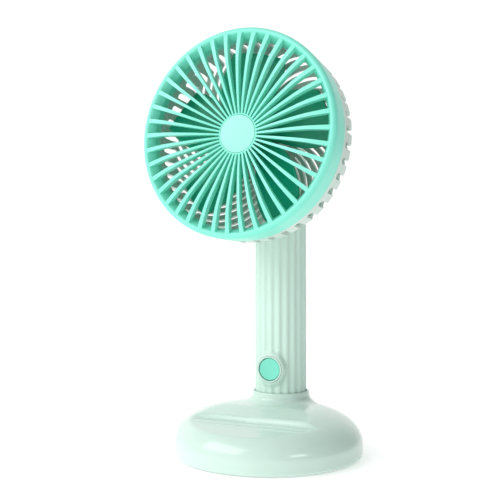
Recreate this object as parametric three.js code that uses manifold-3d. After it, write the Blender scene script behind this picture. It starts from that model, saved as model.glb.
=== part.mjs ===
// A small rechargeable fan: a round fan head on a fluted handle that stands in a round base.
// Millimetres, +Z up, the fan blows towards -Y, and the origin is on the floor at the base's centre.

import * as THREE from "three";
import { mergeVertices } from "three/addons/utils/BufferGeometryUtils.js";
import Module from "manifold-3d";

const wasm = await Module();
wasm.setup();

// ---- fits -----------------------------------------------------------------------------------
const GAP = 0.3; // between pieces that touch or are pressed together
const SLIP = 0.5; // round the handle in the base's socket
const TUCK = 0.6; // how deep joined features run into each other

// ---- base -----------------------------------------------------------------------------------
const BASE_RADIUS = 50;
const BASE_EDGE_HEIGHT = 7; // the upright edge, below the domed top
const BASE_HEIGHT = 25.5;
const BASE_FLAT_RADIUS = 18; // where the domed edge runs into the flat middle
const BASE_WALL = 2.2;
const BASE_ROUND = 2; // the small round under the edge
const PAD_RADIUS = BASE_RADIUS - 7;
const PAD_THICKNESS = 0.9;
const PLATE_THICKNESS = 2.4;
const PLATE_MARGIN = 0.5; // between the base plate and the cover's wall
const BALLAST_THICKNESS = 3;
const BALLAST_MARGIN = 3.5; // from the plate's edge to the ballast's edge
const POST_RADIUS = 3.2;
const POST_CIRCLE = BASE_RADIUS - 13;
const POST_COUNT = 3;
const LEDGE_Y = -19.5; // top of the phone ledge's back wall
const LEDGE_Z = 22.2;
const LEDGE_DEPTH = 2.4; // height of the back wall
const LEDGE_WIDTH = 9.2; // from the back wall to the front ridge
const LEDGE_START_Y = -6; // where the dome begins to slope down to the ledge
const LEDGE_WALL_LEAN = 1; // how far the back wall's foot is in front of its top
const LEDGE_FRONT_FALL = 2.4; // from the back wall's foot to the base's front
const RIDGE_HEIGHT = 0.6;
const RIDGE_REACH = 1.3; // half of a ridge's width

// ---- socket and handle ----------------------------------------------------------------------
const COLUMN_Y = 17.4; // the handle stands behind the base's centre
const HANDLE_RADIUS = 14;
const HANDLE_WALL = 1.5; // under the flutes
const FLUTE_COUNT = 20;
const FLUTE_DEPTH = 0.7;
const FLUTE_SHARE = 0.66; // of a flute's pitch, the rest is the land between two flutes
const COLLAR_HEIGHT = 31.1; // the socket's rim above the floor
const COLLAR_WALL = 1.3;
const COLLAR_FLARE = 4.6;
const COLLAR_STRAIGHT = 2.2; // the upright part below the rim
const COLLAR_RIM = 0.45; // the rim's chamfer
const SOCKET_PAD_THICKNESS = 1;
const HANDLE_LENGTH = 169; // the fluted shells, between the end cap and the top cap
const END_CAP_THICKNESS = 3;
const CAP_SPIGOT = 1.8;
const TOP_CAP_RISE = 6.5;

// ---- head -----------------------------------------------------------------------------------
const RING_RADIUS = 52.5;
const RING_DEPTH = 12;
const RING_WALL = 1.3;
const RING_DROP = 13.1; // of the ring's centre below the shells' top
const NECK_SHOWING = 4.1; // from the head's back to the handle
const HEAD_TILT = THREE.MathUtils.degToRad(4.2); // the head is fixed, facing a little upwards
const LIP_RISE = 1.9; // the lip's crest in front of the ring's widest circle
const LIP_RADIUS = RING_RADIUS - 2;
const THROAT_RADIUS = RING_RADIUS - 5.3; // the smallest opening behind the lip
const THROAT_DEPTH = 7; // of the throat's back edge
const FRONT_RIB_COUNT = 40;
const FRONT_RIB_TURN = THREE.MathUtils.degToRad(7.1);
const FRONT_RIB_HEIGHT = 3.6;
const FRONT_RIB_OUTER_WIDTH = 2.3;
const FRONT_RIB_INNER_WIDTH = 0.9;
const HUB_RADIUS = 10.4;
const HUB_SET_BACK = 2.3; // the centre disc behind the ring's widest circle
const HUB_THICKNESS = 3;
const HUB_CAP_THICKNESS = 1;

const REAR_RIB_COUNT = 42;
const REAR_RIB_SWIRL = THREE.MathUtils.degToRad(50);
const REAR_RIB_THICKNESS = 2;
const REAR_RIB_OUTER_WIDTH = 3.9;
const REAR_RIB_INNER_WIDTH = 1.3;
const REAR_RIB_OVERLAP = 2; // how far the ribs run into the rear disc
const REAR_BAND = 3.2; // the plain band behind the ring
const SHOULDER_RADIUS = RING_RADIUS - 0.5;
const SHOULDER_DEPTH = 27.5;
const REAR_DEPTH = 38.5;
const REAR_DISC_RADIUS = 18;
const REAR_DISC_THICKNESS = 2.7;
const SPIGOT_WALL = 0.9; // of the rear housing, inside the ring
const SPIGOT_LENGTH = 6.5;
const NECK_RADIUS = 8;
const NECK_LENGTH = 11;
const STEM_RADIUS = 5;
const STEM_LENGTH = 4.5;
const STEM_BORE = 2.4;
const LOCK_RING_THICKNESS = 2;

const MOTOR_RADIUS = 12;
const MOTOR_LENGTH = 12;
const MOTOR_NOSE_RADIUS = 3; // round the shaft, in front of the can
const MOTOR_NOSE_LENGTH = 1.6;
const MOTOR_CAP_THICKNESS = 1.2;
const MOTOR_CUP_WALL = 1.8;
const SHAFT_RADIUS = 1;
const BLADE_COUNT = 5;
const BLADE_TURN = THREE.MathUtils.degToRad(30); // of the first blade's root
const BLADE_TIP_RADIUS = RING_RADIUS - 8.5;
const BLADE_THICKNESS = 1.4;
const BLADE_ROOT_CHORD = 11.5;
const BLADE_SWELL = 17.5; // how much wider the blade is at its widest, two thirds of the way out
const BLADE_SWELL_REACH = 0.74; // of a half wave, so that the tip is a little narrower again
const BLADE_SWEEP = THREE.MathUtils.degToRad(19); // how far the tip is ahead of the root
const BLADE_FRONT = 9; // depth behind the ring's widest circle
const BLADE_CAMBER = 1.5;
const IMPELLER_HUB_RADIUS = 10.6;
const IMPELLER_HUB_WALL = 1.5;
const HUB_FACE = 1.6; // thickness of the impeller hub's front
const HUB_CLEARANCE = 2; // between the grille's hub and the impeller's

// ---- inside the handle ----------------------------------------------------------------------
const BUTTON_Z = 44;
const BUTTON_RADIUS = 5.9;
const BUTTON_PROUD = 1.4; // of the handle's skin
const BUTTON_TRAVEL = 0.8;
const BEZEL_RADIUS = 7;
const BEZEL_PROUD = 0.5;
const BOSS_RADIUS = 8.4;
const BOSS_PROUD = 1.5;
const BOSS_INSIDE = 3.2; // how far the boss reaches in behind the skin
const FLANGE_RADIUS = 7.2;
const FLANGE_THICKNESS = 1;
const BOARD_Y = COLUMN_Y - 3.8; // the board's front face
const BOARD_THICKNESS = 1.2;
const BOARD_WIDTH = 16;
const BOARD_LENGTH = 34;
const SWITCH_SIZE = 6;
const SWITCH_DEPTH = 3.2;
const PLUNGER_RADIUS = 1.7;
const PORT_WIDTH = 9;
const PORT_HEIGHT = 3.2;
const PORT_DEPTH = 7.4;
const PORT_WALL = 0.35;
const CHARGE_BOARD_WIDTH = 13;
const CHARGE_BOARD_LENGTH = 16;
const CELL_RADIUS = 9.15;
const CELL_LENGTH = 65;
const CELL_BOTTOM = 63;
const TAB_THICKNESS = 0.5;
const TAB_WIDTH = 6;
const TAB_LENGTH = 16;
const CABLE_RADIUS = 0.85;
const SCREW_SHANK_RADIUS = 1.1;
const SCREW_HEAD_RADIUS = 2.4;
const SCREW_HEAD_HEIGHT = 1.8;
const BOSS_WALL = 1.6; // round a screw
const BASE_SCREW_LENGTH = 9;
const BASE_SCREW_HEAD_HEIGHT = 0.9;
const HANDLE_SCREW_LENGTH = 13;
const HANDLE_SCREW_SEAT = 4; // from the shells' joint to the screw head's seat
const LOWER_SCREW_Z = 15;
const UPPER_SCREW_DROP = 36.5; // below the shells' top

// ---- levels worked out from the sizes above -------------------------------------------------
const COVER_BOTTOM = PAD_THICKNESS - GAP;
const PLATE_BOTTOM = PAD_THICKNESS + GAP;
const PLATE_TOP = PLATE_BOTTOM + PLATE_THICKNESS;
const SOCKET_RADIUS = HANDLE_RADIUS + SLIP;
const SOCKET_TUBE_RADIUS = SOCKET_RADIUS + COLLAR_WALL;
const HANDLE_BOTTOM = PLATE_TOP + GAP + SOCKET_PAD_THICKNESS + GAP;
const SHELL_BOTTOM = HANDLE_BOTTOM + END_CAP_THICKNESS + GAP;
const SHELL_TOP = SHELL_BOTTOM + HANDLE_LENGTH;
const HANDLE_BORE = HANDLE_RADIUS - FLUTE_DEPTH - HANDLE_WALL;
const HANDLE_SCREW_HEIGHTS = [LOWER_SCREW_Z, SHELL_TOP - UPPER_SCREW_DROP];
const SKIN_Y = COLUMN_Y - HANDLE_RADIUS; // the front of the handle
const BUTTON_FACE_Y = SKIN_Y - BUTTON_PROUD;
const BOSS_FACE_Y = SKIN_Y - BOSS_PROUD;
const BOSS_BACK_Y = SKIN_Y + BOSS_INSIDE;
const RING_Y = SKIN_Y - NECK_SHOWING - REAR_DEPTH; // the ring's centre
const RING_Z = SHELL_TOP - RING_DROP;
const NECK_BACK = HANDLE_RADIUS + NECK_SHOWING - NECK_LENGTH; // its end, in front of the axis
const LOCK_RING_RADIUS = Math.sqrt(HANDLE_BORE ** 2 - NECK_BACK ** 2) - GAP;
const REAR_START = RING_DEPTH + GAP;
const REAR_DISC_FRONT = REAR_DEPTH - REAR_DISC_THICKNESS;
const SPIGOT_RADIUS = RING_RADIUS - RING_WALL - GAP;
const MOTOR_CAP_BACK = REAR_DISC_FRONT - GAP;
const MOTOR_BACK = MOTOR_CAP_BACK - MOTOR_CAP_THICKNESS - GAP;
const MOTOR_FRONT = MOTOR_BACK - MOTOR_LENGTH;
const MOTOR_NOSE = MOTOR_FRONT - MOTOR_NOSE_LENGTH;
const BLADE_BACK = MOTOR_FRONT - 1;
const HUB_BACK = HUB_SET_BACK + HUB_THICKNESS;
const HUB_FRONT = HUB_BACK + HUB_CLEARANCE;
const BOARD_BOTTOM = BUTTON_Z - BOARD_LENGTH / 2 - 3;
const CHARGE_BOARD_Y = COLUMN_Y + HANDLE_RADIUS - GAP - PORT_DEPTH - GAP - BOARD_THICKNESS;

const ROUND = 36; // sides of a large round
const SMALL_ROUND = 16; // sides of a small round
const BIG = 1.5 * HANDLE_LENGTH; // longer than any piece that it cuts

// ---- helpers: closed surfaces, joins and cuts -----------------------------------------------

const between = THREE.MathUtils.lerp;

/** The solid inside a closed surface, with its shared corners merged. */
function solid(geometry) {
  const loose = geometry.index ? geometry.toNonIndexed() : geometry;
  const bare = new THREE.BufferGeometry();
  bare.setAttribute("position", loose.getAttribute("position"));
  const merged = mergeVertices(bare, 1e-4);
  const corners = merged.index.array;
  const kept = [];
  for (let i = 0; i < corners.length; i += 3) {
    const [a, b, c] = [corners[i], corners[i + 1], corners[i + 2]];
    if (a !== b && b !== c && c !== a) kept.push(a, b, c);
  }
  const mesh = new wasm.Mesh({
    numProp: 3,
    vertProperties: new Float32Array(merged.getAttribute("position").array),
    triVerts: new Uint32Array(kept),
  });
  return new wasm.Manifold(mesh);
}

/** The surface of a solid, as a geometry. */
function surface(shape) {
  const mesh = shape.getMesh();
  const geometry = new THREE.BufferGeometry();
  geometry.setAttribute("position", new THREE.BufferAttribute(mesh.vertProperties, 3));
  geometry.setIndex(new THREE.BufferAttribute(mesh.triVerts, 1));
  return geometry;
}

function join(first, ...others) {
  return surface(others.reduce((whole, next) => whole.add(solid(next)), solid(first)));
}

function cut(whole, ...tools) {
  return surface(tools.reduce((rest, tool) => rest.subtract(solid(tool)), solid(whole)));
}

function common(first, second) {
  return surface(solid(first).intersect(solid(second)));
}

/** A closed ring or disc turned about Y. The outline runs anticlockwise as [radius, height]. */
function turned(outline, sides = ROUND) {
  const points = [...outline, outline[0]].map(([radius, height]) => new THREE.Vector2(radius, height));
  return new THREE.LatheGeometry(points, sides);
}

/** The same, turned about Z. */
function turnedUpright(outline, sides = ROUND) {
  return turned(outline, sides).rotateX(Math.PI / 2);
}

/** A plain disc or rod about Y, from one height to another. */
function rod(radius, from, to, sides = SMALL_ROUND) {
  return turned([[0, from], [radius, from], [radius, to], [0, to]], sides);
}

function uprightRod(radius, from, to, sides = SMALL_ROUND) {
  return rod(radius, from, to, sides).rotateX(Math.PI / 2);
}

/** A tube about Y. */
function sleeve(inner, outer, from, to, sides = ROUND) {
  return turned([[inner, from], [outer, from], [outer, to], [inner, to]], sides);
}

function block(width, depth, height, x, y, z) {
  return new THREE.BoxGeometry(width, depth, height).translate(x, y, z);
}

/** A prism: an outline of [x, y] points pulled up from z = 0. */
function prism(outline, height) {
  const shape = new THREE.Shape(outline.map(([x, y]) => new THREE.Vector2(x, y)));
  return new THREE.ExtrudeGeometry(shape, { depth: height, bevelEnabled: false });
}

/** Points along an arc of an ellipse, both ends included, for angles in degrees. */
function arc(centreX, centreY, radiusX, radiusY, fromDegrees, toDegrees, steps) {
  const points = [];
  for (let i = 0; i <= steps; i++) {
    const angle = THREE.MathUtils.degToRad(fromDegrees + ((toDegrees - fromDegrees) * i) / steps);
    points.push([centreX + radiusX * Math.cos(angle), centreY + radiusY * Math.sin(angle)]);
  }
  return points;
}

/** A smooth curve through [x, y] points. */
function curveThrough(points) {
  const curve = new THREE.CatmullRomCurve3(points.map(([x, y]) => new THREE.Vector3(x, y, 0)));
  return (share) => curve.getPoint(share);
}

/**
 * A bar of square section bent into place: along runs from 0 to 1, and across and through from
 * -0.5 to 0.5.
 */
function bentBar(steps, acrossSteps, place) {
  const geometry = new THREE.BoxGeometry(1, 1, 1, steps, 1, acrossSteps);
  const position = geometry.getAttribute("position");
  for (let i = 0; i < position.count; i++) {
    const moved = place(position.getX(i) + 0.5, position.getZ(i), position.getY(i));
    position.setXYZ(i, moved.x, moved.y, moved.z);
  }
  return geometry;
}

/** A point of the head's own frame: Y runs backwards from the ring's widest circle. */
function headPoint(angle, radius, depth, sideways = 0) {
  const x = radius * Math.cos(angle) - sideways * Math.sin(angle);
  const z = radius * Math.sin(angle) + sideways * Math.cos(angle);
  return new THREE.Vector3(x, depth, z);
}

const FINISHES = {
  mint: { color: 0xd3ece1, roughness: 0.32 },
  paleMint: { color: 0xcfe6db, roughness: 0.45 },
  aqua: { color: 0x86ecd5, roughness: 0.38 },
  teal: { color: 0x2fae8f, roughness: 0.4 },
  rubber: { color: 0x3a3d3c, roughness: 0.85 },
  steel: { color: 0xb4b8ba, roughness: 0.35, metalness: 1 },
  darkSteel: { color: 0x6c7072, roughness: 0.5, metalness: 1 },
  nickel: { color: 0xc9c5b8, roughness: 0.3, metalness: 1 },
  board: { color: 0x1f5a3c, roughness: 0.6 },
  black: { color: 0x202122, roughness: 0.5 },
  cellWrap: { color: 0x3d6fb0, roughness: 0.4 },
};

/** A named piece, shown in one of the finishes. */
function piece(name, finish, geometry) {
  geometry.computeVertexNormals();
  const mesh = new THREE.Mesh(geometry, new THREE.MeshStandardMaterial(FINISHES[finish]));
  mesh.name = name;
  return mesh;
}

// ---- base -----------------------------------------------------------------------------------

/** The base's rounded dome, as wide and high as given, with a round under its edge. */
function dome(radius, height, bottom, round, steps, sides) {
  const rise = height - BASE_EDGE_HEIGHT;
  const reach = radius - BASE_FLAT_RADIUS;
  return turnedUpright([
    [0, bottom],
    [radius - round, bottom],
    ...arc(radius - round, bottom + round, round, round, -45, 0, 1),
    ...arc(BASE_FLAT_RADIUS, BASE_EDGE_HEIGHT, reach, rise, 0, 90, steps),
    [0, height],
  ], sides);
}

/** What the phone ledge takes off the front of the dome: a back wall, a groove and two ridges. */
function ledgeSpace(drop, setBack) {
  const floor = LEDGE_Z - LEDGE_DEPTH;
  const front = -BASE_RADIUS - TUCK;
  const above = BASE_HEIGHT + LEDGE_WIDTH;
  const ridge = (centre, foot) => [
    [centre + RIDGE_REACH, foot],
    [centre, foot + RIDGE_HEIGHT],
    [centre - RIDGE_REACH, foot - GAP],
  ];
  const outline = [
    [LEDGE_START_Y, BASE_HEIGHT + GAP],
    [LEDGE_Y, LEDGE_Z],
    [LEDGE_Y - LEDGE_WALL_LEAN, floor],
    ...ridge(LEDGE_Y - LEDGE_WIDTH / 2, floor),
    ...ridge(LEDGE_Y - LEDGE_WIDTH, floor - GAP),
    [front, floor - LEDGE_FRONT_FALL],
    [front, above],
    [LEDGE_START_Y, above],
  ].map(([y, z]) => [y + setBack, z - drop]);
  return prism(outline.reverse(), BIG)
    .translate(0, 0, -BIG / 2)
    .applyMatrix4(new THREE.Matrix4().makeBasis(
      new THREE.Vector3(0, 1, 0),
      new THREE.Vector3(0, 0, 1),
      new THREE.Vector3(1, 0, 0),
    ));
}

/** The socket's tube and the collar that flares from the dome, about the handle's axis. */
function collar(bottom) {
  const flareTop = COLLAR_HEIGHT - COLLAR_STRAIGHT;
  const flareDrop = flareTop - BASE_HEIGHT + BASE_WALL;
  const flareCentre = SOCKET_TUBE_RADIUS + COLLAR_FLARE;
  const underside = BASE_HEIGHT - 3 * BASE_WALL;
  return turnedUpright([
    [SOCKET_RADIUS - TUCK, bottom],
    [SOCKET_TUBE_RADIUS, bottom],
    [SOCKET_TUBE_RADIUS, underside],
    [flareCentre + COLLAR_FLARE, underside],
    ...arc(flareCentre, flareTop, COLLAR_FLARE, flareDrop, 270, 180, 4),
    [SOCKET_TUBE_RADIUS, COLLAR_HEIGHT - COLLAR_RIM],
    [SOCKET_TUBE_RADIUS - COLLAR_RIM, COLLAR_HEIGHT],
    [SOCKET_RADIUS - TUCK, COLLAR_HEIGHT],
  ]).translate(0, COLUMN_Y, 0);
}

function postPlaces() {
  const places = [];
  for (let i = 0; i < POST_COUNT; i++) {
    const angle = Math.PI / 2 + (2 * Math.PI * i) / POST_COUNT;
    places.push([POST_CIRCLE * Math.cos(angle), POST_CIRCLE * Math.sin(angle)]);
  }
  return places;
}

/** One upright rod at each screw post. */
function atPosts(radius, from, to) {
  return postPlaces().map(([x, y]) => uprightRod(radius, from, to, 12).translate(x, y, 0));
}

function baseCover() {
  const inside = cut(
    dome(BASE_RADIUS - BASE_WALL, BASE_HEIGHT - BASE_WALL, COVER_BOTTOM - 1, 0.1, 4, 36),
    ledgeSpace(BASE_WALL, BASE_WALL * 0.6),
  );
  const post = common(
    join(...atPosts(POST_RADIUS, PLATE_TOP + GAP, BASE_HEIGHT)),
    dome(BASE_RADIUS - TUCK, BASE_HEIGHT - BASE_WALL / 2, 0, 0.1, 4, 36),
  );
  const shell = cut(dome(BASE_RADIUS, BASE_HEIGHT, COVER_BOTTOM, BASE_ROUND, 6, 48), inside);
  const filled = join(shell, collar(PLATE_TOP + GAP), post);
  const socket = uprightRod(SOCKET_RADIUS, 0, BIG, ROUND).translate(0, COLUMN_Y, 0);
  const screwHoles = atPosts(SCREW_SHANK_RADIUS + GAP, 0, PLATE_TOP + BASE_SCREW_LENGTH - 1);
  return piece("base_cover", "mint", cut(filled, ledgeSpace(0, 0), socket, ...screwHoles));
}

function basePlate() {
  const plate = uprightRod(BASE_RADIUS - BASE_WALL - PLATE_MARGIN, PLATE_BOTTOM, PLATE_TOP, ROUND);
  const sunk = atPosts(SCREW_HEAD_RADIUS + GAP, 0, PLATE_BOTTOM + BASE_SCREW_HEAD_HEIGHT + GAP);
  const holes = atPosts(SCREW_SHANK_RADIUS + GAP, 0, PLATE_TOP + 1);
  return piece("base_plate", "paleMint", cut(plate, ...sunk, ...holes));
}

function ballastPlate() {
  const radius = BASE_RADIUS - BASE_WALL - PLATE_MARGIN - BALLAST_MARGIN;
  const bottom = PLATE_TOP + GAP;
  const disc = uprightRod(radius, bottom, bottom + BALLAST_THICKNESS, ROUND);
  const socket = uprightRod(SOCKET_TUBE_RADIUS + SLIP, 0, BIG, ROUND).translate(0, COLUMN_Y, 0);
  return piece("ballast_plate", "darkSteel", cut(disc, socket, ...atPosts(POST_RADIUS + SLIP, 0, BIG)));
}

function antiSlipPad() {
  return piece("anti_slip_pad", "rubber", uprightRod(PAD_RADIUS, 0, PAD_THICKNESS, ROUND));
}

function socketPad() {
  const bottom = PLATE_TOP + GAP;
  const pad = uprightRod(SOCKET_RADIUS - SLIP, bottom, bottom + SOCKET_PAD_THICKNESS, ROUND);
  return piece("socket_pad", "rubber", pad.translate(0, COLUMN_Y, 0));
}

/** A screw pointing along +Y from the back of its head at y = 0. */
function screw(length, headHeight) {
  return join(
    rod(SCREW_HEAD_RADIUS, 0, headHeight, 14),
    rod(SCREW_SHANK_RADIUS, headHeight - TUCK, length, 12),
  );
}

function baseScrews() {
  return postPlaces().map(([x, y], i) => piece(
    `base_screw_${i + 1}`,
    "steel",
    screw(BASE_SCREW_LENGTH, BASE_SCREW_HEAD_HEIGHT).rotateX(Math.PI / 2).translate(x, y, PLATE_BOTTOM),
  ));
}

// ---- handle ---------------------------------------------------------------------------------

/** The handle's outline from above: lands and shallow flutes, with a land facing the front. */
function flutedOutline() {
  const pitch = (2 * Math.PI) / FLUTE_COUNT;
  const across = [-0.5, -0.2, 0.2, 0.5];
  const points = [];
  for (let i = 0; i < FLUTE_COUNT; i++) {
    const middle = -Math.PI / 2 + pitch * (i + 0.5);
    for (const share of across) {
      const angle = middle + share * FLUTE_SHARE * pitch;
      const radius = HANDLE_RADIUS - FLUTE_DEPTH * (1 - (2 * share) ** 2);
      points.push([radius * Math.cos(angle), radius * Math.sin(angle)]);
    }
  }
  return points;
}

/** The fluted tube, whole, from its lower to its upper end. */
function flutedTube() {
  const outside = prism(flutedOutline(), HANDLE_LENGTH);
  const tube = cut(outside, uprightRod(HANDLE_BORE, -1, HANDLE_LENGTH + 1, 36));
  return tube.translate(0, COLUMN_Y, SHELL_BOTTOM);
}

/** Half of space, in front of the handle's middle plane or behind it. */
function halfSpace(side) {
  return block(BIG, BIG, 2 * BIG, 0, COLUMN_Y + side * (BIG / 2 + GAP / 2), 0);
}

/** The way through the handle's front wall for the head's neck. */
function neckHole() {
  return inHead(rod(NECK_RADIUS + GAP, REAR_DEPTH, REAR_DEPTH + NECK_LENGTH + GAP, 28));
}

function handleFront() {
  const bossEnd = COLUMN_Y - 3 * GAP;
  const screwBoss = HANDLE_SCREW_HEIGHTS.map((height) => common(
    rod(SCREW_SHANK_RADIUS + GAP + BOSS_WALL, 0, bossEnd, 16).translate(0, 0, height),
    uprightRod(HANDLE_BORE + TUCK, 0, BIG, 36).translate(0, COLUMN_Y, 0),
  ));
  const screwHoles = HANDLE_SCREW_HEIGHTS.map((height) => (
    rod(SCREW_SHANK_RADIUS + GAP, COLUMN_Y - 9, BIG, 12).translate(0, 0, height)
  ));
  const buttonBoss = rod(BOSS_RADIUS, BOSS_FACE_Y, BOSS_BACK_Y, 36).translate(0, 0, BUTTON_Z);
  const ahead = BOSS_FACE_Y - 2;
  const bezelSeat = rod(BEZEL_RADIUS + GAP, ahead, BOSS_FACE_Y + 2, 28).translate(0, 0, BUTTON_Z);
  const capHole = rod(BUTTON_RADIUS + GAP, ahead, COLUMN_Y, 28).translate(0, 0, BUTTON_Z);
  const flangeRoom = rod(FLANGE_RADIUS + GAP, BOSS_BACK_Y, COLUMN_Y, 28).translate(0, 0, BUTTON_Z);
  const shell = join(common(flutedTube(), halfSpace(-1)), buttonBoss, ...screwBoss);
  const buttonRoom = [bezelSeat, capHole, flangeRoom];
  return piece("handle_front", "mint", cut(shell, neckHole(), ...buttonRoom, ...screwHoles));
}

function handleRear() {
  const from = COLUMN_Y + 3 * GAP;
  const to = COLUMN_Y + HANDLE_BORE + TUCK;
  const headSeat = from + HANDLE_SCREW_SEAT;
  const screwBoss = HANDLE_SCREW_HEIGHTS.map((height) => (
    rod(SCREW_HEAD_RADIUS + GAP + BOSS_WALL, from, to, 18).translate(0, 0, height)
  ));
  const screwHoles = HANDLE_SCREW_HEIGHTS.flatMap((height) => [
    rod(SCREW_SHANK_RADIUS + GAP, 0, BIG, 12).translate(0, 0, height),
    rod(SCREW_HEAD_RADIUS + GAP, headSeat, BIG, 14).translate(0, 0, height),
  ]);
  const port = portOutline(GAP, BIG).translate(0, CHARGE_BOARD_Y + BOARD_THICKNESS, BUTTON_Z);
  const inside = uprightRod(HANDLE_RADIUS - FLUTE_DEPTH, 0, BIG, 36).translate(0, COLUMN_Y, 0);
  const bosses = screwBoss.map((boss) => common(boss, inside));
  const shell = join(common(flutedTube(), halfSpace(1)), ...bosses);
  return piece("handle_rear", "mint", cut(shell, port, ...screwHoles));
}

function handleScrews() {
  const headBack = COLUMN_Y + 4 * GAP + HANDLE_SCREW_SEAT + SCREW_HEAD_HEIGHT;
  return HANDLE_SCREW_HEIGHTS.map((height, i) => piece(
    `handle_screw_${i + 1}`,
    "steel",
    screw(HANDLE_SCREW_LENGTH, SCREW_HEAD_HEIGHT).rotateZ(Math.PI).translate(0, headBack, height),
  ));
}

/** The plug that closes the handle's lower end. */
function handleEndCap() {
  const round = 1.2;
  const radius = HANDLE_RADIUS - FLUTE_DEPTH / 2;
  return piece("handle_end_cap", "mint", turnedUpright([
    [0, HANDLE_BOTTOM],
    [radius - round, HANDLE_BOTTOM],
    [radius, HANDLE_BOTTOM + round],
    [radius, SHELL_BOTTOM - GAP],
    [HANDLE_BORE - GAP, SHELL_BOTTOM - GAP],
    [HANDLE_BORE - GAP, SHELL_BOTTOM + CAP_SPIGOT],
    [0, SHELL_BOTTOM + CAP_SPIGOT],
  ], 32).translate(0, COLUMN_Y, 0));
}

/** The rounded cap on the handle's upper end, behind the head. */
function handleTopCap() {
  const bottom = SHELL_TOP + GAP;
  return piece("handle_top_cap", "mint", turnedUpright([
    [0, SHELL_TOP - CAP_SPIGOT],
    [HANDLE_BORE - GAP, SHELL_TOP - CAP_SPIGOT],
    [HANDLE_BORE - GAP, bottom],
    [HANDLE_RADIUS, bottom],
    ...arc(0, bottom + 1, HANDLE_RADIUS, TOP_CAP_RISE - 1, 0, 90, 5),
  ], 32).translate(0, COLUMN_Y, 0));
}

// ---- button, boards and battery -------------------------------------------------------------

function powerButton() {
  const flangeFront = BOSS_BACK_Y + GAP;
  const flangeBack = flangeFront + FLANGE_THICKNESS;
  const round = 0.5;
  return piece("power_button", "aqua", turned([
    [0, BUTTON_FACE_Y],
    [BUTTON_RADIUS - round, BUTTON_FACE_Y],
    [BUTTON_RADIUS, BUTTON_FACE_Y + round],
    [BUTTON_RADIUS, flangeFront],
    [FLANGE_RADIUS, flangeFront],
    [FLANGE_RADIUS, flangeBack],
    [0, flangeBack],
  ], 24).translate(0, 0, BUTTON_Z));
}

/** The thin raised ring round the button, pressed into the handle. */
function buttonBezel() {
  const front = BOSS_FACE_Y - BEZEL_PROUD;
  const back = BOSS_FACE_Y + 2 - GAP;
  return piece("button_bezel", "mint", turned([
    [BUTTON_RADIUS + GAP, front + 0.3],
    [BUTTON_RADIUS + GAP + 0.2, front],
    [BEZEL_RADIUS - 0.3, front],
    [BEZEL_RADIUS, front + 0.4],
    [BEZEL_RADIUS, back],
    [BUTTON_RADIUS + GAP, back],
  ], 24).translate(0, 0, BUTTON_Z));
}

/** The switch's plunger, which the button pushes and which moves with it. */
function switchPlunger() {
  const front = BOSS_BACK_Y + GAP + FLANGE_THICKNESS + GAP;
  const back = BOARD_Y - GAP - SWITCH_DEPTH + BUTTON_TRAVEL;
  return piece("switch_plunger", "black", rod(PLUNGER_RADIUS, front, back, 16).translate(0, 0, BUTTON_Z));
}

function tactSwitch() {
  const back = BOARD_Y - GAP;
  const body = block(SWITCH_SIZE, SWITCH_DEPTH, SWITCH_SIZE, 0, back - SWITCH_DEPTH / 2, BUTTON_Z);
  const bore = rod(PLUNGER_RADIUS + GAP, 0, back - 0.6, 16).translate(0, 0, BUTTON_Z);
  return piece("tact_switch", "black", cut(body, bore));
}

function circuitBoard() {
  const middle = BOARD_BOTTOM + BOARD_LENGTH / 2;
  const board = block(BOARD_WIDTH, BOARD_THICKNESS, BOARD_LENGTH, 0, BOARD_Y + BOARD_THICKNESS / 2, middle);
  return piece("circuit_board", "board", board);
}

function chargeBoard() {
  const y = CHARGE_BOARD_Y + BOARD_THICKNESS / 2;
  const board = block(CHARGE_BOARD_WIDTH, BOARD_THICKNESS, CHARGE_BOARD_LENGTH, 0, y, BUTTON_Z);
  return piece("charge_board", "board", board);
}

/** A flat-sided round-ended prism along +Y, as wide and high as the port plus a margin. */
function portOutline(margin, depth) {
  const radius = PORT_HEIGHT / 2 + margin;
  const reach = PORT_WIDTH / 2 - PORT_HEIGHT / 2;
  const outline = [
    ...arc(reach, 0, radius, radius, -90, 90, 6),
    ...arc(-reach, 0, radius, radius, 90, 270, 6),
  ];
  return prism(outline, depth).rotateX(Math.PI / 2).translate(0, depth, 0);
}

/** The charging socket: a metal shell with a tongue, open to the handle's back. */
function chargingPort() {
  const back = CHARGE_BOARD_Y + BOARD_THICKNESS + GAP;
  const shell = cut(portOutline(0, PORT_DEPTH), portOutline(-PORT_WALL, PORT_DEPTH).translate(0, 1, 0));
  const tongueLength = PORT_DEPTH - 1.5;
  const tongue = block(PORT_WIDTH - 3, tongueLength, 0.7, 0, 0.5 + tongueLength / 2, 0);
  return piece("charging_port", "nickel", join(shell, tongue).translate(0, back, BUTTON_Z));
}

function batteryCell() {
  const round = 0.8;
  const top = CELL_BOTTOM + CELL_LENGTH;
  return piece("battery_cell", "cellWrap", turnedUpright([
    [0, CELL_BOTTOM],
    [CELL_RADIUS - round, CELL_BOTTOM],
    [CELL_RADIUS, CELL_BOTTOM + round],
    [CELL_RADIUS, top - 1.6],
    [CELL_RADIUS - round, top - 0.8],
    [3, top - 0.8],
    [3, top],
    [0, top],
  ], 32).translate(0, COLUMN_Y, 0));
}

/** The nickel strips on the battery's two ends. */
function batteryTabs() {
  const levels = [
    ["battery_tab_lower", CELL_BOTTOM - GAP - TAB_THICKNESS / 2],
    ["battery_tab_upper", CELL_BOTTOM + CELL_LENGTH + GAP + TAB_THICKNESS / 2],
  ];
  return levels.map(([name, level]) => (
    piece(name, "nickel", block(TAB_WIDTH, TAB_LENGTH, TAB_THICKNESS, 0, COLUMN_Y, level))
  ));
}

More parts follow.
